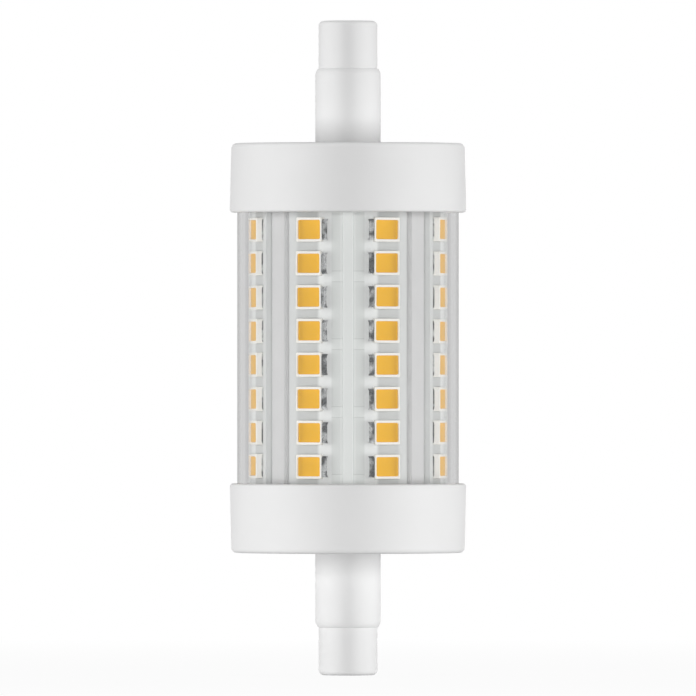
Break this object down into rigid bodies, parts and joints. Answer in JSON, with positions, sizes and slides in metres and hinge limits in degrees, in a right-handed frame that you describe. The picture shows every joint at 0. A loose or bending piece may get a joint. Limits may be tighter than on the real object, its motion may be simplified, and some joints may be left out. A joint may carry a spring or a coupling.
{
  "type": "linear led bulb",
  "caption": "Double-ended linear LED bulb: octagonal light engine of LED packages under a clear tube, between white end caps with recessed-contact noses.",
  "frame": {"origin": "centre of the lamp, on its axis halfway between the tips of its two noses", "axes": "+Z along the lamp's axis to the upper nose, -Y to the front, +X to the right seen from the front"},
  "size_m": [0.0282, 0.0282, 0.078],
  "materials": {
    "cap_plastic": "fine satin moulding, white",
    "clear_plastic": "clear, polished tube",
    "core_plastic": "satin moulding, white",
    "nickel_plate": "nickel plated, satin",
    "board_mask": "white solder mask, satin",
    "package_plastic": "white package moulding",
    "phosphor": "yellow phosphor in clear resin, unlit",
    "solder": "bright tin solder",
    "tinned_copper": "tinned copper",
    "driver_laminate": "green solder mask",
    "black_epoxy": "black moulding",
    "capacitor_sleeve": "printed-free shrink sleeve",
    "yellow_resin": "dipped resin",
    "ferrite": "sintered ferrite, matt",
    "fuse_ceramic": "white ceramic with metal ends"
  },
  "bodies": {
    "root": {"upper_end_cap": "cap_plastic", "lower_end_cap": "cap_plastic", "upper_contact": "nickel_plate", "lower_contact": "nickel_plate", "cover_tube": "clear_plastic", "core": "core_plastic", "front_led_board": "board_mask", "front_led_housings": "package_plastic", "front_led_phosphors": "phosphor", "front_led_solder": "solder", "right_led_board": "board_mask", "right_led_housings": "package_plastic", "right_led_phosphors": "phosphor", "right_led_solder": "solder", "rear_led_board": "board_mask", "rear_led_housings": "package_plastic", "rear_led_phosphors": "phosphor", "rear_led_solder": "solder", "left_led_board": "board_mask", "left_led_housings": "package_plastic", "left_led_phosphors": "phosphor", "left_led_solder": "solder", "board_links": "tinned_copper", "driver_board": "driver_laminate", "feed_pins": "tinned_copper", "upper_lead": "tinned_copper", "lower_lead": "tinned_copper", "smoothing_capacitor": "capacitor_sleeve", "film_capacitor": "yellow_resin", "inductor": "ferrite", "input_fuse": "fuse_ceramic", "bridge_rectifier": "black_epoxy", "driver_chip": "black_epoxy"}
  },
  "joints": []
}
